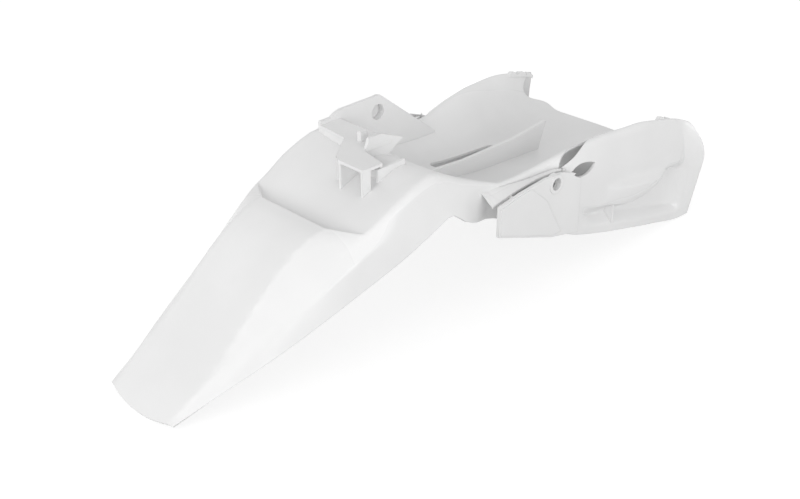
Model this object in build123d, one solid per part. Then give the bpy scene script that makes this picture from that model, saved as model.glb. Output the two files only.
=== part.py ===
from build123d import *
import math
import os

# Rear fender of a small off-road motorcycle: one moulded shell with its seat tower, ear, spine,
# number plates and side panels. X points forward, Y to the left, Z up. Stations are measured
# forward from the seat step and heights from the top of that step. At the end the whole piece
# is set down on the ground, with the origin under the middle of its box.

# Wall of the moulding
wall = 2.8

# Tail: a flat panel that droops to the rear between two tapering facets
tail_length = 203.0
tail_drop = 141.0
panel_half_step = 49.0
panel_half_tip = 44.0
tip_bow = 8.0
facet_half = 84.0
facet_lead = 20.0
flank_half_tip = 52.0

# Seat deck: starts under the step, climbs to a crest and falls to a saddle
step_depth = 12.0
step_run = 3.5
deck_half = 90.0
crest_station = 110.0
crest_height = 35.0
saddle_station = 212.0
saddle_height = -2.0

# Front: a trough between two shoulders that carry the side panels
trough_half = 60.0
trough_depth = 45.0
shoulder_station = 370.0
shoulder_height = 20.0
shoulder_half = 117.0
front_station = 495.0
front_half = 90.0
front_scallop = 30.0
tab_station = 514.0

# Side panels: the skirt of the shell, from the web forward to the front edge
web_station = 300.0
panel_half = 118.0
panel_front = 526.0
panel_toe = 533.0
left_front = 494.0
left_toe = 512.0
flare = 22.0
flare_run = 15.0
ground = -142.0

# Gutter along the foot of each side panel, with a rib across it, and the knee bulge above it
gutter_depth = 11.0
gutter_rim = 8.0
gutter_end = 10.0
rib_station = 377.0
rib_thick = 4.0
bulge_station = 419.0
bulge_height = -54.0
bulge_long = 59.0
bulge_tall = 33.0
bulge_dome = 7.0

# Spine along the middle of the trough, leaning forward at its front end
spine_rear = 186.0
spine_foot = 375.0
spine_lean = 13.0
spine_rise = 34.0
spine_thick = 5.0

# Slot in the floor of the trough, to the left of the spine
slot_rear = 236.0
slot_front = 344.0
slot_side = 37.0
slot_wide = 15.0

# Number plate behind each side panel: a flat flap that stands off the shell, with a bored boss
plate_rear = 178.0
plate_lap = 12.0
plate_wall = 3.5
plate_proud = 0.2
plate_top = -5.0
plate_foot = -80.0
pad_rise = 1.2
plate_hole_station = 269.0
plate_hole_height = -17.0
plate_hole = 14.0
boss_wall = 4.0
boss_length = 7.0
boss_proud = 0.8
plate_groove = 6.0
end_wall_station = 204.0

# Lens-shaped opening in each side panel, with a web behind it, and a pocket above the right one
lens_rear = 299.0
lens_front = 341.0
lens_height = -17.0
lens_tall = 13.0
lens_web = 345.0
pocket_rear = 288.0
pocket_front = 342.0
pocket_side = -100.0
pocket_wide = 10.0

# Ear on the left of the deck: an upright plate with a blind bore in its right face
ear_side = 78.0
ear_thick = 4.0
ear_rear = 104.0
ear_front = 279.0
ear_apex = 188.0
ear_height = 53.0
ear_bore = 18.0
ear_bore_drop = 20.0
ear_bore_deep = 8.0
ear_cup_wall = 2.0

# Seat tower on the deck: a box open to the rear and the right, and a shelf from it to the ear
tower_rear = 57.0
tower_box = 27.0
tower_left = -7.0
tower_right = -40.0
tower_height = 41.0
tower_wall = 3.5
tower_cheek = 11.0
fin_front = 116.0
fin_height = 36.0
shelf_front = 132.0
shelf_left = 33.0
cheek_side = -3.0
cheek_height = 52.0
cheek_front = 149.0

# Tabs along the front corners of the shoulders
tab_run = 46.0
tab_back = 6.0
tab_rise = 5.0
tab_thick = 5.0


def between(a, b, t):
    return a + (b - a) * t


def along(knots):
    """Smooth curve through (station, value) pairs that never overshoots them."""
    xs = [k[0] for k in knots]
    ys = [k[1] for k in knots]
    count = len(xs)
    steps = [xs[i + 1] - xs[i] for i in range(count - 1)]
    rises = [(ys[i + 1] - ys[i]) / steps[i] for i in range(count - 1)]
    slopes = [rises[0]]
    for i in range(1, count - 1):
        if rises[i - 1] * rises[i] <= 0:
            slopes.append(0.0)
        else:
            a = 2 * steps[i] + steps[i - 1]
            b = steps[i] + 2 * steps[i - 1]
            slopes.append((a + b) / (a / rises[i - 1] + b / rises[i]))
    slopes.append(rises[-1])

    def value(x):
        x = min(max(x, xs[0]), xs[-1])
        i = 0
        while i < count - 2 and x > xs[i + 1]:
            i += 1
        t = (x - xs[i]) / steps[i]
        a = (1 + 2 * t) * (1 - t) ** 2
        b = t * (1 - t) ** 2
        c = t * t * (3 - 2 * t)
        d = t * t * (t - 1)
        return a * ys[i] + b * steps[i] * slopes[i] + c * ys[i + 1] + d * steps[i] * slopes[i + 1]

    return value


def smooth(t):
    """0 below 0, 1 above 1, an S between."""
    t = min(max(t, 0.0), 1.0)
    return t * t * (3 - 2 * t)


# Stations between the named ones
tip = -tail_length
fade = 0.75 * tip
half_tail = 0.37 * tip
lead_in = 0.18 * crest_station
climb = 0.59 * crest_station
brow = between(crest_station, saddle_station, 0.147)
fall = between(crest_station, saddle_station, 0.392)
hip = between(crest_station, saddle_station, 0.598)
waist = between(crest_station, saddle_station, 0.784)
behind = between(saddle_station, web_station, 0.318)
nape = between(saddle_station, web_station, 0.81)
root = between(web_station, shoulder_station, 0.43)
collar = between(web_station, shoulder_station, 0.64)
thigh = between(web_station, shoulder_station, 0.81)
knee = between(shoulder_station, tab_station, 0.31)
shin = between(shoulder_station, tab_station, 0.62)

slope = tail_drop / tail_length
floor_z = -trough_depth
plate_outer = panel_half + plate_proud
plate_front = web_station + plate_lap

# Lines of the shell: the middle, the inner corner, the upper edge, the side corner and the free edge
centre_z = along([
    (tip, -tail_drop), (fade, fade * slope), (0, 0), (step_run, -step_depth),
    (lead_in, 5 - step_depth), (climb, 13), (crest_station, crest_height - 6), (fall, 12),
    (waist, -18), (saddle_station, floor_z + 14), (nape, floor_z + 5), (root, floor_z + 3),
    (knee, floor_z), (panel_front, floor_z - 3),
])
inner_y = along([
    (tip, panel_half_tip), (fade, panel_half_tip + 6), (0, panel_half_step),
    (step_run, panel_half_step), (climb, 55), (fall, trough_half - 2), (nape, trough_half),
    (shoulder_station, trough_half + 8), (panel_front, front_half),
])
inner_z = along([
    (tip, -tail_drop), (fade, fade * slope), (0, 0), (step_run, -step_depth),
    (lead_in, 6 - step_depth), (climb, 15), (crest_station, crest_height - 4), (fall, 14),
    (waist, -14), (saddle_station, floor_z + 15), (nape, floor_z + 4), (root, floor_z + 2),
    (knee, floor_z - 1), (panel_front, floor_z - 4),
])
edge_lead = along([
    (tip, 0), (fade, 0), (0, facet_lead), (step_run, facet_lead), (0.73 * crest_station, 0),
    (panel_front, 0),
])
edge_y = along([
    (tip, panel_half_tip + 3), (fade, panel_half_tip + 10),
    (0.5 * fade, 0.5 * (panel_half_tip + 10 + facet_half)), (0, facet_half),
    (lead_in, facet_half + 2), (climb, deck_half), (nape, deck_half + 2), (root, deck_half + 9),
    (shoulder_station, shoulder_half - 11), (knee, shoulder_half - 5), (tab_station, shoulder_half - 5),
    (panel_front, shoulder_half - 5),
])
edge_z = along([
    (tip, -tail_drop - 0.5), (fade, fade * slope - 1), (0.5 * fade, 0.5 * fade * slope - 3), (0, -2),
    (lead_in, 6), (climb, 22), (crest_station, crest_height), (fall, 19),
    (waist, saddle_height + 7), (saddle_station, saddle_height), (nape, saddle_height + 5),
    (root, shoulder_height - 6), (shoulder_station, shoulder_height), (knee, shoulder_height),
    (shin, shoulder_height - 7), (tab_station, shoulder_height - 25),
    (panel_front, shoulder_height - 50),
])
side_y = along([
    (tip, flank_half_tip - 2.5), (fade, flank_half_tip + 7), (half_tail, facet_half - 9),
    (0, facet_half + 7), (climb, deck_half + 4), (crest_station, deck_half + 5),
    (fall, deck_half + 5), (waist, deck_half + 3), (behind, deck_half + 11), (nape, deck_half + 16),
    (web_station, panel_half - 0.5), (collar, panel_half),
    (panel_front - flare_run, panel_half + 1), (panel_front, panel_half + flare),
])
side_z = along([
    (tip, -tail_drop - 1), (fade, fade * slope - 8), (half_tail, half_tail * slope - 16), (0, -24),
    (climb, -5), (crest_station, crest_height - 26), (fall, 0), (waist, -20), (behind, -20),
    (web_station, -19), (shoulder_station, -28), (knee, -35), (shin, -40), (panel_front, -46),
])
skirt_y = along([
    (tip, flank_half_tip), (fade, flank_half_tip + 12), (half_tail, facet_half - 4), (0, facet_half + 9),
    (climb, deck_half + 8), (crest_station, deck_half + 10), (fall, deck_half + 9), (hip, deck_half + 5),
    (waist, deck_half), (saddle_station, deck_half + 3), (behind, deck_half + 11), (nape, deck_half + 17),
    (web_station, panel_half - 0.5), (collar, panel_half), (panel_toe, panel_half),
])
skirt_z = along([
    (tip, -tail_drop - 2), (fade, fade * slope - 15), (half_tail, half_tail * slope - 39), (0, -60),
    (climb, -37), (crest_station, crest_height - 52.5), (brow, crest_height - 47), (fall, -28),
    (hip, -37), (waist, -41), (saddle_station, saddle_height - 46), (behind, saddle_height - 60),
    (web_station, 0.63 * ground), (thigh, 0.75 * ground), (knee, 0.85 * ground),
    (shin, 0.92 * ground), (panel_toe - 12, ground), (panel_toe, ground),
])

# Length that each rounded corner takes from the straight beside it
inner_corner = along([(tip, 3), (0, 2.5), (climb, 20), (fall, 25), (panel_front, 25)])
edge_corner = along([
    (tip, 3), (0, 5), (climb, 9), (fall, 12), (nape, 12), (shoulder_station, 28), (panel_front, 26),
])
side_corner = along([(tip, 2), (fall, 6), (nape, 6), (root, 18), (panel_front, 20)])

# The lines bow round at the tip behind rear_hold, and run to their own front ends ahead of front_hold
rear_hold = 0.5 * tip
front_hold = between(web_station, shoulder_station, 0.57)

# Upper edge of the gutter in the side panels
gutter_top = along([
    (web_station - 29, 0.51 * plate_foot), (rib_station - 5, bulge_height - 18),
    (rib_station + 8, bulge_height - 8), (bulge_station + 20, bulge_height + 24),
    (panel_front, bulge_height + 28),
])


def placed(u, front):
    """Station of a line at row u: rows run on to the panel front, each line stops at its own."""
    if u > front_hold:
        return u + (front - panel_front) * ((u - front_hold) / (panel_front - front_hold)) ** 2
    return u


def blend(a, b, t):
    return [a[i] + (b[i] - a[i]) * t for i in range(3)]


def length(a, b):
    return math.sqrt(sum((a[i] - b[i]) ** 2 for i in range(3)))


def relief(x, z, left):
    """How far the face of a side panel stands out at station x, height z: gutter below, bulge above."""
    long = abs((x - bulge_station) / bulge_long)
    tall = abs((z - bulge_height) / bulge_tall)
    reach = (long ** 2.5 + tall ** 2.5) ** 0.4
    outside = smooth((reach - 0.9) / 0.22)
    stop = (left_front if left else panel_front) - gutter_end
    rear = smooth((x - plate_front + 4) / 46)
    front = smooth((stop - x) / 14)
    bottom = smooth((z - skirt_z(x) - gutter_rim) / 15)
    top = smooth((gutter_top(x) - z) / 14)
    dome = bulge_dome * max(0.0, 1 - reach ** 3)
    return dome - gutter_depth * outside * rear * front * bottom * top


def half_section(u, left):
    """Points of one half of the section at row u, from the middle out to the free edge."""
    mid = placed(u, front_station)
    edge = placed(u, left_front if left else tab_station)
    side = placed(u, left_front if left else panel_front)
    skirt = placed(u, left_toe if left else panel_toe)
    corners = [
        [mid, 0, centre_z(mid)],
        [mid, inner_y(mid), inner_z(mid)],
        [edge + edge_lead(u), edge_y(edge), edge_z(edge)],
        [side + 0.4 * edge_lead(u), side_y(side), side_z(side)],
        [skirt, skirt_y(skirt), skirt_z(skirt)],
    ]
    cuts = [0, inner_corner(u), edge_corner(u), side_corner(u), 0]
    spans = [4, 5, 4, 22]
    turns = [0, 4, 4, 3, 0]
    scallop = 0.0
    if u > front_hold:
        scallop = front_scallop * ((u - front_hold) / (panel_front - front_hold)) ** 2
    points = []
    for i in range(4):
        run = length(corners[i], corners[i + 1])
        start = blend(corners[i], corners[i + 1], min(cuts[i], 0.42 * run) / run)
        stop = blend(corners[i + 1], corners[i], min(cuts[i + 1], 0.42 * run) / run)
        if i > 0:
            before = points[-1]
            for k in range(1, turns[i]):
                t = k / turns[i]
                points.append(blend(blend(before, corners[i], t), blend(corners[i], start, t), t))
        for k in range(spans[i] + 1):
            t = k / spans[i]
            point = blend(start, stop, t)
            if i == 3 and u > web_station:
                point[1] += relief(point[0], point[2], left) * smooth(t / 0.15)
            points.append(point)
    for point in points:
        t = (point[1] - corners[1][1]) / (corners[2][1] - corners[1][1])
        if 0 < t < 1:
            point[0] -= scallop * math.sin(math.pi * t) ** 1.3
    if u < rear_hold:
        pull = tip_bow * ((u - rear_hold) / (tip - rear_hold)) ** 2
        for point in points:
            ahead = pull * (point[1] / flank_half_tip) ** 2
            point[0] += ahead
            point[2] += ahead * slope
    return points


def spread(start, stop, step):
    count = max(1, round((stop - start) / step))
    return [start + (stop - start) * i / count for i in range(count)]


stations = (
    spread(tip, -20, 16) + spread(-20, -2, 9) + spread(-2, step_run + 2.5, 1.3)
    + spread(step_run + 2.5, lead_in, 7) + spread(lead_in, crest_station, 12)
    + spread(crest_station, web_station + 5, 10)
    + spread(web_station + 5, panel_front, 5) + [panel_front]
)


def grid():
    """Rows of points over the outside of the shell, from the right free edge to the left one."""
    rows = []
    for u in stations:
        right = [[p[0], -p[1], p[2]] for p in reversed(half_section(u, False)[1:])]
        rows.append(right + half_section(u, True))
    return rows


def normals(rows):
    """Outward directions at the points of the grid, evened out so that tight bends do not fold."""
    last_row = len(rows) - 1
    last_col = len(rows[0]) - 1
    found = []
    for i in range(last_row + 1):
        line = []
        for j in range(last_col + 1):
            a = Vector(*rows[min(i + 1, last_row)][j]) - Vector(*rows[max(i - 1, 0)][j])
            b = Vector(*rows[i][min(j + 1, last_col)]) - Vector(*rows[i][max(j - 1, 0)])
            line.append(a.cross(b).normalized())
        found.append(line)
    for _ in range(3):
        evened = []
        for i in range(last_row + 1):
            line = []
            for j in range(last_col + 1):
                total = found[i][j] * 2
                total += found[max(i - 1, 0)][j] + found[min(i + 1, last_row)][j]
                total += found[i][max(j - 1, 0)] + found[i][min(j + 1, last_col)]
                line.append(total.normalized())
            evened.append(line)
        found = evened
    return found


def shell_solid():
    """The shell: two skins of narrow bands between neighbouring sections, closed along every free edge."""
    outside = grid()
    ways = normals(outside)
    inside = []
    for i, row in enumerate(outside):
        inside.append([Vector(*p) - ways[i][j] * wall for j, p in enumerate(row)])
    outer = [Edge.make_spline([Vector(*p) for p in row]) for row in outside]
    inner = [Edge.make_spline(row) for row in inside]
    faces = [
        Face.make_surface_from_curves(outer[0], inner[0]),
        Face.make_surface_from_curves(outer[-1], inner[-1]),
    ]
    for i in range(len(outer) - 1):
        faces.append(Face.make_surface_from_curves(outer[i], outer[i + 1]))
        faces.append(Face.make_surface_from_curves(inner[i], inner[i + 1]))
        for end in (0, 1):
            top = Edge.make_line(outer[i] @ end, outer[i + 1] @ end)
            under = Edge.make_line(inner[i] @ end, inner[i + 1] @ end)
            faces.append(Face.make_surface_from_curves(top, under))
    return Solid(Shell(faces))


def skin_z(x, y):
    """Height of the outside of the shell over a point of the deck, the trough or a shoulder."""
    u = x
    found = 0.0
    for _ in range(5):
        points = half_section(u, y > 0)
        for near, far in zip(points, points[1:]):
            if near[1] <= abs(y) <= far[1]:
                t = (abs(y) - near[1]) / max(far[1] - near[1], 1e-6)
                found = between(near[2], far[2], t)
                u += x - between(near[0], far[0], t)
                break
    return found


def prism(outline, start, stop):
    """Block with the given outline of (x, z) points, from start to stop across the fender."""
    base = Face(Wire.make_polygon([Vector(x, start, z) for x, z in outline], close=True))
    return Solid.extrude(base, Vector(0, stop - start, 0))


def slab(plan, bottom, top):
    """Flat slab with the given plan of (x, y) points."""
    base = Face(Wire.make_polygon([Vector(x, y, bottom) for x, y in plan], close=True))
    return Solid.extrude(base, Vector(0, 0, top - bottom))


def standing(start, stop, top, thick):
    """Plate that stands on the shell over the line from start to stop, both (x, y).

    Its top is a list of (distance along the line, height), and its foot is sunk half way into the wall.
    """
    run = math.hypot(stop[0] - start[0], stop[1] - start[1])
    way = Vector((stop[0] - start[0]) / run, (stop[1] - start[1]) / run, 0)
    side = Vector(-way.Y, way.X, 0) * thick
    origin = Vector(start[0], start[1], 0) - side * 0.5
    corners = [origin + way * s + Vector(0, 0, z) for s, z in top]
    count = 12
    for i in range(count + 1):
        s = run * (1 - i / count)
        foot = skin_z(start[0] + way.X * s, start[1] + way.Y * s) - 0.5 * wall
        corners.append(origin + way * s + Vector(0, 0, foot))
    return Solid.extrude(Face(Wire.make_polygon(corners, close=True)), side)


def across(x, outline, thick):
    """Upright wall across the fender at station x, with the given outline of (y, z) points."""
    base = Face(Wire.make_polygon([Vector(x, y, z) for y, z in outline], close=True))
    return Solid.extrude(base, Vector(thick, 0, 0))


def sheet(near, far, thick):
    """Sheet between two lines of points, with the given thickness below them."""
    down = Vector(0, 0, -thick)
    rungs = [Edge.make_line(a, b) for a, b in zip(near, far)]
    lower = [Edge.make_line(a + down, b + down) for a, b in zip(near, far)]
    faces = [
        Face.make_surface_from_curves(rungs[0], lower[0]),
        Face.make_surface_from_curves(rungs[-1], lower[-1]),
    ]
    for i in range(len(rungs) - 1):
        faces.append(Face.make_surface_from_curves(rungs[i], rungs[i + 1]))
        faces.append(Face.make_surface_from_curves(lower[i], lower[i + 1]))
        for end in (0, 1):
            top = Edge.make_line(rungs[i] @ end, rungs[i + 1] @ end)
            under = Edge.make_line(lower[i] @ end, lower[i + 1] @ end)
            faces.append(Face.make_surface_from_curves(top, under))
    return Solid(Shell(faces))


def drum(x, z, radius, start, stop):
    """Round bar across the fender through x, z, from start to stop."""
    return Solid.make_cylinder(radius, stop - start, Plane(origin=(x, start, z), z_dir=(0, 1, 0)))


def slot(rear, front, side, wide, bottom, top):
    """Upright bar with rounded ends, for a slot along the fender."""
    near = side - 0.5 * wide
    far = side + 0.5 * wide
    bar = slab([(rear, near), (front, near), (front, far), (rear, far)], bottom, top)
    return bar.fillet(0.45 * wide, bar.edges().filter_by(Axis.Z))


def mirrored(solid):
    return solid.mirror(Plane.XZ)


# Spine and the slot beside it
spine = standing((spine_rear, 0), (spine_foot, 0), [
    (0, skin_z(spine_rear, 0)), (60, skin_z(spine_rear + 60, 0) + 0.52 * spine_rise),
    (spine_foot - spine_rear - 45, floor_z + 0.8 * spine_rise),
    (spine_foot - spine_rear + spine_lean, floor_z + spine_rise),
], spine_thick)
floor_slot = slot(slot_rear, slot_front, slot_side, slot_wide, floor_z - 40, floor_z + 25)

# Number plate with its pad behind a slanting crease, and the boss that its bore runs through
plate_crest = [
    (plate_rear, plate_top - 10), (plate_rear + 33, plate_top - 4), (plate_hole_station - 18, plate_top),
    (plate_hole_station + 11, plate_top - 1.5), (plate_front, plate_top - 13),
]
plate_outline = plate_crest + [
    (plate_front, skirt_z(plate_front) + 4), (plate_rear + 88, plate_foot), (plate_rear, 0.62 * plate_foot),
]
plate = prism(plate_outline, plate_outer - plate_wall, plate_outer)
pad_outline = [
    (plate_rear + 2, plate_top - 12), (plate_rear + 33, plate_top - 6),
    (plate_rear + 49, plate_top - 4), (plate_rear + 75, plate_top - 26),
    (plate_rear + 102, plate_foot + 3), (plate_rear + 87, plate_foot + 3),
    (plate_rear + 2, 0.62 * plate_foot + 2),
]
pad = prism(pad_outline, plate_outer - 0.5 * plate_wall, plate_outer + pad_rise)
boss = drum(
    plate_hole_station, plate_hole_height, 0.5 * plate_hole + boss_wall,
    plate_outer - boss_length, plate_outer + boss_proud,
)
plate_bore = drum(
    plate_hole_station, plate_hole_height, 0.5 * plate_hole,
    plate_outer - boss_length - 2, plate_outer + boss_proud + 2,
)

# Ledge between the shell and the plate, with a groove left along the plate, and the wall that ends it
plate_inner = plate_outer - plate_wall
ledge_crest = along(plate_crest)
ledge_stations = spread(plate_rear, web_station - 8, 12) + [web_station - 8]
ledge_near = [Vector(x, side_y(x) - 0.6 * wall, side_z(x) + 12) for x in ledge_stations]
ledge_far = [Vector(x, plate_inner - plate_groove, ledge_crest(x) - 1.5) for x in ledge_stations]
ledge = sheet(ledge_near, ledge_far, wall)
end_wall = across(end_wall_station, [
    (side_y(end_wall_station) - 0.6 * wall, side_z(end_wall_station) + 10),
    (plate_inner - plate_groove, ledge_crest(end_wall_station) - 2.5),
    (plate_inner + 1, ledge_crest(end_wall_station) - 6), (plate_inner + 1, 0.65 * plate_foot),
    (skirt_y(end_wall_station) - 0.6 * wall, skirt_z(end_wall_station) + 2),
], wall)

# Rib across the gutter
rib = prism([
    (rib_station - 0.5 * rib_thick, gutter_top(rib_station) + 6),
    (rib_station + 0.5 * rib_thick, gutter_top(rib_station) + 6),
    (rib_station + 0.5 * rib_thick, skirt_z(rib_station) + gutter_rim),
    (rib_station - 0.5 * rib_thick, skirt_z(rib_station) + gutter_rim),
], panel_half - gutter_depth - 0.6 * wall, panel_half - 0.5)

# Lens in the side panel, the web across the hollow behind it, and the pocket in the right shoulder
lens_inner = panel_half - 30
lens_middle = 0.5 * (lens_rear + lens_front)
lens_back = Vector(lens_rear, lens_inner, lens_height + 1)
lens_fore = Vector(lens_front, lens_inner, lens_height + 2)
lens_upper = Vector(lens_middle, lens_inner, lens_height + 0.5 * lens_tall)
lens_lower = Vector(lens_middle, lens_inner, lens_height - 0.5 * lens_tall)
lens_ring = Wire([
    Edge.make_three_point_arc(lens_back, lens_upper, lens_fore),
    Edge.make_three_point_arc(lens_fore, lens_lower, lens_back),
])
lens = Solid.extrude(Face(lens_ring), Vector(0, 60, 0))
web_points = half_section(lens_web, True)
web_line = []
for before, point, after in zip(web_points, web_points[1:], web_points[2:]):
    run = math.hypot(after[1] - before[1], after[2] - before[2])
    web_y = point[1] + 0.5 * wall * (after[2] - before[2]) / run
    web_z = point[2] - 0.5 * wall * (after[1] - before[1]) / run
    if web_y > trough_half and web_z > floor_z - 8:
        web_line.append((web_y, web_z))
lens_wall = across(lens_web, web_line, wall)
pocket_middle = 0.5 * (pocket_rear + pocket_front)
pocket_back = Vector(pocket_rear, pocket_side - 4, lens_height)
pocket_fore = Vector(pocket_front, pocket_side + 1, lens_height)
pocket_ring = Wire([
    Edge.make_three_point_arc(
        pocket_back, Vector(pocket_middle, pocket_side - 0.5 * pocket_wide, lens_height), pocket_fore,
    ),
    Edge.make_three_point_arc(
        pocket_fore, Vector(pocket_middle, pocket_side + 0.5 * pocket_wide, lens_height), pocket_back,
    ),
])
pocket = Solid.extrude(Face(pocket_ring), Vector(0, 0, 45))

# Ear
ear_run = ear_front - ear_rear
ear_rise = ear_apex - ear_rear
ear = standing((ear_rear, ear_side), (ear_front, ear_side), [
    (0, ear_height - 9), (1, ear_height - 8), (15, ear_height - 7.5), (21, ear_height - 4),
    (30, ear_height - 1.8), (ear_rise - 6, ear_height - 0.6), (ear_rise, ear_height),
    (ear_rise + 5, ear_height - 1.5), (ear_run, skin_z(ear_front, ear_side) + 1),
], ear_thick)
ear_mouth = ear_side - 0.5 * ear_thick
ear_cup = drum(
    ear_apex, ear_height - ear_bore_drop, 0.5 * ear_bore + ear_cup_wall,
    ear_side, ear_mouth + ear_bore_deep + ear_cup_wall,
)
ear_hole = drum(
    ear_apex, ear_height - ear_bore_drop, 0.5 * ear_bore, ear_mouth - 2, ear_mouth + ear_bore_deep,
)

# Seat tower: roof of the box and the shelf, the walls under them, a fin to the right and an upright cheek
box_front = tower_rear + tower_box
under_roof = tower_height - 0.5 * tower_wall
roof = slab([
    (tower_rear, tower_right - 0.5 * tower_wall), (tower_rear, tower_left + 2),
    (tower_rear + 7, tower_left + 13), (shelf_front - 32, shelf_left), (ear_rear, ear_side),
    (shelf_front, ear_side), (shelf_front, cheek_side - 2), (box_front + 8, cheek_side - 2),
    (box_front, tower_right - 0.5 * tower_wall),
], tower_height - tower_wall, tower_height)
tower = [
    roof,
    standing(
        (tower_rear, tower_left), (box_front, tower_left),
        [(0, under_roof), (tower_box, under_roof)], tower_wall,
    ),
    standing(
        (tower_rear, tower_right), (tower_rear + tower_cheek, tower_right),
        [(0, under_roof), (tower_cheek, under_roof)], tower_wall,
    ),
    standing(
        (box_front, tower_right), (box_front, tower_left),
        [(0, under_roof), (tower_left - tower_right, under_roof)], tower_wall,
    ),
    standing(
        (tower_rear + 8, tower_left + 12), (shelf_front - 32, shelf_left - 2),
        [(0, under_roof), (42, under_roof)], tower_wall,
    ),
    standing(
        (shelf_front - 30, shelf_left - 1), (ear_rear + 2, ear_side),
        [(0, under_roof), (ear_side - shelf_left + 1, under_roof)], tower_wall,
    ),
    standing(
        (shelf_front - 2, cheek_side), (shelf_front - 2, ear_side),
        [(0, under_roof), (ear_side - cheek_side, under_roof)], tower_wall,
    ),
    standing(
        (tower_rear + 21, tower_right), (fin_front, tower_right),
        [(0, fin_height - 1), (fin_front - tower_rear - 21, fin_height)], tower_wall,
    ),
    standing((shelf_front - 36, cheek_side), (shelf_front - 7, cheek_side), [
        (0, tower_height), (4, cheek_height), (21, cheek_height),
        (cheek_front - shelf_front + 36, tower_height - 2),
    ], tower_wall),
    slab([
        (shelf_front - 28, cheek_side + 15), (shelf_front - 18, cheek_side + 15),
        (shelf_front - 18, cheek_side + 21), (shelf_front - 28, cheek_side + 21),
    ], under_roof, cheek_height),
]


def tab(side):
    """Notched tab along the front corner of the shoulder on one side."""
    front = (left_front if side > 0 else tab_station) - tab_back
    y = side * (shoulder_half - 10)
    notches = [
        (0, 0), (0.09, 1), (0.26, 1), (0.33, 0.3), (0.43, 1), (0.65, 1), (0.72, 0.3), (0.8, 1), (1, 0.6),
    ]
    crest = []
    for share, lift in notches:
        s = share * tab_run
        crest.append((s, skin_z(front - tab_run + s, y) + lift * tab_rise))
    return standing((front - tab_run, y), (front, y), crest, tab_thick)


raised = [
    spine, plate, mirrored(plate), pad, mirrored(pad), boss, mirrored(boss), rib, mirrored(rib),
    ledge, mirrored(ledge), end_wall, mirrored(end_wall), lens_wall, mirrored(lens_wall),
    ear, ear_cup, tab(-1), tab(1),
]
fender = shell_solid() + (raised + tower)
fender = fender - [
    plate_bore, mirrored(plate_bore), ear_hole, lens, mirrored(lens), pocket, floor_slot,
]

# Set down on the ground, with the origin under the middle of the box
box = fender.bounding_box()
fender = fender.moved(Location((-box.center().X, -box.center().Y, -box.min.Z)))

os.makedirs("parts", exist_ok=True)
export_step(fender, "parts/rear_fender.step")
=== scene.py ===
import math

import bpy
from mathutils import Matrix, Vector

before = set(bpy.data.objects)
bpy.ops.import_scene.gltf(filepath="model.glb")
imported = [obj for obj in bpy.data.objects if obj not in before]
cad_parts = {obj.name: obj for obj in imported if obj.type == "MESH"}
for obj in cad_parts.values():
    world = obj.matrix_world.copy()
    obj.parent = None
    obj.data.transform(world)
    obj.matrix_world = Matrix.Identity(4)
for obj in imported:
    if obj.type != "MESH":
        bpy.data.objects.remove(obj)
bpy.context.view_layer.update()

# The fender: one injection-moulded shell of white polypropylene, about 2.8 mm thick, off the mould with
# a polished face on the tail and the side panels and a duller one on the seat deck, in the trough and
# underneath. It has no paint or film, so its colour only wanders a little where the melt flowed.
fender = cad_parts["rear_fender"]
step_place = -0.165          # station of the seat step
step_blend = 0.004           # length over which the finish changes at the step
middle = 0.0059              # plane that halves the fender
deck_half = 0.085            # half width of the duller deck
deck_blend = 0.02            # width over which the finish changes beside the deck
white = (0.84, 0.84, 0.84, 1)
flow_white = (0.8, 0.8, 0.8, 1)
polished_roughness = 0.2
satin_roughness = 0.42
flow_roughness = 0.06        # how far the roughness wanders with the flow
flow_scale = 9.0             # patches per metre of the melt's flow
peel_scale = 240.0           # waves per metre in the polished face
grain_scale = 1500.0         # grains per metre in the dull face
peel_height = 0.00002
grain_height = 0.00003
bump_strength = 0.6
plastic_ior = 1.49
soft_edge = 0.0009           # radius of the moulded edges
edge_samples = 6
crease_angle = math.radians(28)
weld_distance = 0.00001
flatness = 100               # how strongly large faces set the shading beside them


class Field:
    """A socket of a node tree. Arithmetic on it adds Math nodes, and node() adds any other node."""

    def __init__(self, tree, socket=None):
        self.tree = tree
        self.socket = socket

    def node(self, kind, settings=None, sockets=None, out=0):
        made = self.tree.nodes.new(kind)
        for name, value in (settings or {}).items():
            setattr(made, name, value)
        for name, value in (sockets or {}).items():
            if isinstance(value, Field):
                self.tree.links.new(value.socket, made.inputs[name])
            else:
                made.inputs[name].default_value = value
        return Field(self.tree, made.outputs[out] if made.outputs else None)

    def maths(self, operation, a, b=0.0):
        return self.node("ShaderNodeMath", {"operation": operation}, {0: a, 1: b})

    def __add__(self, other):
        return self.maths("ADD", self, other)

    def __radd__(self, other):
        return self.maths("ADD", other, self)

    def __sub__(self, other):
        return self.maths("SUBTRACT", self, other)

    def __rsub__(self, other):
        return self.maths("SUBTRACT", other, self)

    def __mul__(self, other):
        return self.maths("MULTIPLY", self, other)

    def __rmul__(self, other):
        return self.maths("MULTIPLY", other, self)

    def __gt__(self, other):
        return self.maths("GREATER_THAN", self, other)

    def __abs__(self):
        return self.maths("ABSOLUTE", self)

    def most(self, other):
        return self.maths("MAXIMUM", self, other)

    def axis(self, name):
        """One coordinate of a vector."""
        return self.node("ShaderNodeSeparateXYZ", sockets={"Vector": self}, out=name)

    def smooth(self, low, high):
        """0 below low, 1 above high, an S between."""
        ends = {"From Min": low, "From Max": high, "Value": self}
        return self.node("ShaderNodeMapRange", {"interpolation_type": "SMOOTHSTEP"}, ends)

    def noise(self, scale, detail):
        """Cloudy pattern over a vector of places, about 0.5 on average."""
        return self.node("ShaderNodeTexNoise", sockets={"Vector": self, "Scale": scale, "Detail": detail})


def new_material(name):
    """A material with an empty tree, as (material, start of its fields)."""
    material = bpy.data.materials.new(name)
    material.use_nodes = True
    material.node_tree.nodes.clear()
    return material, Field(material.node_tree)


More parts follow.
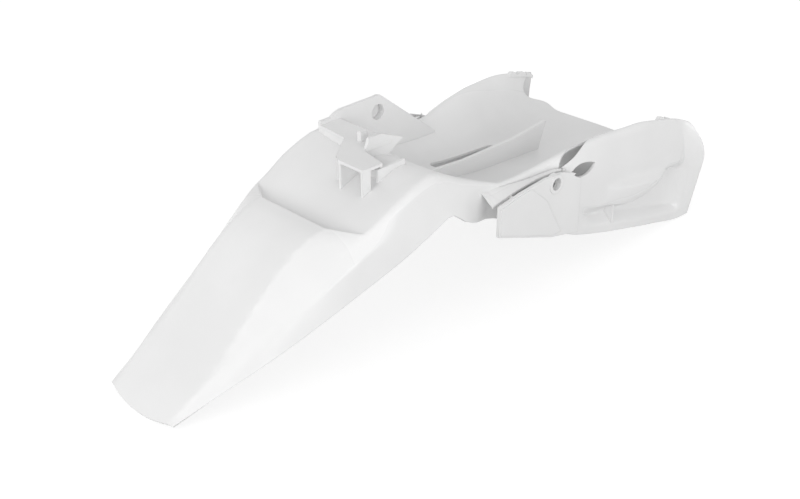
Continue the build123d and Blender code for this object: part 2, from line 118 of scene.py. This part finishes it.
def moulded_plastic():
    """White plastic straight from the mould: polished outside, dull on the deck and underneath."""
    material, start = new_material("moulded_white_plastic")
    place = start.node("ShaderNodeTexCoord", out="Object")
    up = start.node("ShaderNodeNewGeometry", out="Normal").axis("Z")

    ahead_of_step = place.axis("X").smooth(step_place, step_place + step_blend)
    between_rims = 1 - abs(place.axis("Y") - middle).smooth(deck_half, deck_half + deck_blend)
    deck = ahead_of_step * between_rims * up.smooth(0.1, 0.5)
    underside = 1 - up.smooth(-0.4, -0.1)
    dull = deck.most(underside)

    flow = place.noise(flow_scale, 3.0)
    peel = place.noise(peel_scale, 1.0)
    grain = place.noise(grain_scale, 2.0)
    colour = start.node(
        "ShaderNodeMix", {"data_type": "RGBA"},
        {"Factor": flow.smooth(0.3, 0.7), 6: white, 7: flow_white}, out=2,
    )
    roughness = polished_roughness + dull * (satin_roughness - polished_roughness)
    roughness = roughness + (flow - 0.5) * flow_roughness
    height = peel * peel_height + grain * dull * grain_height
    edge = start.node("ShaderNodeBevel", {"samples": edge_samples}, {"Radius": soft_edge})
    bump = start.node("ShaderNodeBump", sockets={
        "Height": height, "Distance": 1.0, "Strength": bump_strength, "Normal": edge,
    })
    shader = start.node("ShaderNodeBsdfPrincipled", sockets={
        "Base Color": colour, "Roughness": roughness, "Normal": bump, "IOR": plastic_ior,
    })
    start.node("ShaderNodeOutputMaterial", sockets={"Surface": shader})
    return material


def smooth_skin(piece):
    """Shades the shell as one skin, flat where it is flat, and keeps its real creases sharp."""
    tree = bpy.data.node_groups.new("smooth_skin", "GeometryNodeTree")
    tree.interface.new_socket("Geometry", in_out="INPUT", socket_type="NodeSocketGeometry")
    tree.interface.new_socket("Geometry", in_out="OUTPUT", socket_type="NodeSocketGeometry")
    start = Field(tree)
    given = start.node("NodeGroupInput")
    joined = start.node(
        "GeometryNodeMergeByDistance", sockets={"Geometry": given, "Distance": weld_distance},
    )
    plain = start.node("GeometryNodeRemoveAttribute", sockets={"Geometry": joined, "Name": "custom_normal"})
    soft = start.node(
        "GeometryNodeSetShadeSmooth", {"domain": "FACE"}, {"Geometry": plain, "Shade Smooth": True},
    )
    creased = start.node("GeometryNodeSetShadeSmooth", {"domain": "EDGE"}, {
        "Geometry": soft, "Shade Smooth": False,
        "Selection": start.node("GeometryNodeInputMeshEdgeAngle", out="Unsigned Angle") > crease_angle,
    })
    start.node("NodeGroupOutput", sockets={"Geometry": creased})
    skin = piece.modifiers.new("smooth_skin", "NODES")
    skin.node_group = tree
    weighted = piece.modifiers.new("flat_where_flat", "WEIGHTED_NORMAL")
    weighted.keep_sharp = True
    weighted.weight = flatness


fender.data.materials.clear()
fender.data.materials.append(moulded_plastic())
smooth_skin(fender)

# The floor: a wide sheet of white paper under the fender. The camera sees it white, with the
# fender's soft shadow on it, and it throws a little plain light back up.
floor_size = 14.0
floor_gap = 0.0005                   # keeps the paper just clear of the lowest edges
paper = (0.6, 0.6, 0.6, 1)           # as the fender sees it
shadow_share = (0.3, 0.3, 0.3, 1)    # as the camera sees it, under the glow
paper_glow = 0.8
plain_white = (1, 1, 1, 1)


def seen_directly(start):
    """1 for a ray from the camera, off a glossy face or through a clear one, else 0."""
    kinds = ["Is Camera Ray", "Is Glossy Ray", "Is Transmission Ray"]
    camera_ray, glossy_ray, clear_ray = [start.node("ShaderNodeLightPath", out=kind) for kind in kinds]
    return camera_ray.most(glossy_ray).most(clear_ray)


bpy.ops.mesh.primitive_plane_add(size=floor_size, location=(0, 0, -floor_gap))
floor = bpy.context.object
floor.name = "paper_floor"
paper_material, start = new_material("white_paper")
matt = start.node("ShaderNodeBsdfDiffuse", sockets={"Color": paper})
shaded = start.node("ShaderNodeBsdfDiffuse", sockets={"Color": shadow_share})
glow = start.node("ShaderNodeEmission", sockets={"Color": plain_white, "Strength": paper_glow})
shown = start.node("ShaderNodeAddShader", sockets={0: shaded, 1: glow})
sheet = start.node("ShaderNodeMixShader", sockets={0: seen_directly(start), 1: matt, 2: shown})
start.node("ShaderNodeOutputMaterial", sockets={"Surface": sheet})
floor.data.materials.append(paper_material)

# The room: an even white studio around the fender. The camera and the polished faces see its walls
# as plain white, and the light that they give is somewhat dimmer.
room_light = 0.66
room_seen = 1.0
world = bpy.data.worlds.new("white_room")
bpy.context.scene.world = world
world.use_nodes = True
world.node_tree.nodes.clear()
start = Field(world.node_tree)
dim = start.node("ShaderNodeBackground", sockets={"Color": plain_white, "Strength": room_light})
bright = start.node("ShaderNodeBackground", sockets={"Color": plain_white, "Strength": room_seen})
walls = start.node("ShaderNodeMixShader", sockets={0: seen_directly(start), 1: dim, 2: bright})
start.node("ShaderNodeOutputWorld", sockets={"Surface": walls})

# The lamps: large square soft boxes, one low at the fender's right, one low at its right rear and
# one higher behind it, all turned to the fender.
lamp_size = 1.4
lamp_aim = Vector((0, 0, 0.1))


def soft_box(name, place, power):
    """One soft box at a place, with its power in watts."""
    lamp = bpy.data.lights.new(name, "AREA")
    lamp.shape = "SQUARE"
    lamp.size = lamp_size
    lamp.energy = power
    box = bpy.data.objects.new(name, lamp)
    bpy.context.scene.collection.objects.link(box)
    box.location = place
    box.rotation_euler = (lamp_aim - Vector(place)).to_track_quat("-Z", "Y").to_euler()


soft_box("right_box", (0.2, -2.2, 0.35), 13.0)
soft_box("rear_box", (-1.6, -1.6, 0.3), 10.0)
soft_box("high_box", (-2.1, -0.3, 0.9), 15.0)

# The camera: behind the fender, to its right and above it, held level, with a short telephoto lens
# and everything in focus.
camera_place = (-0.8858, -0.8941, 0.7104)
camera_way = Vector((0.6137, 0.6352, -0.4689))
camera_data = bpy.data.cameras.new("camera")
camera_data.sensor_width = 36.0
camera_data.lens = 57.6
camera = bpy.data.objects.new("camera", camera_data)
bpy.context.scene.collection.objects.link(camera)
camera.location = camera_place
camera.rotation_euler = camera_way.to_track_quat("-Z", "Y").to_euler()
bpy.context.scene.camera = camera
bpy.context.scene.view_settings.view_transform = "Standard"
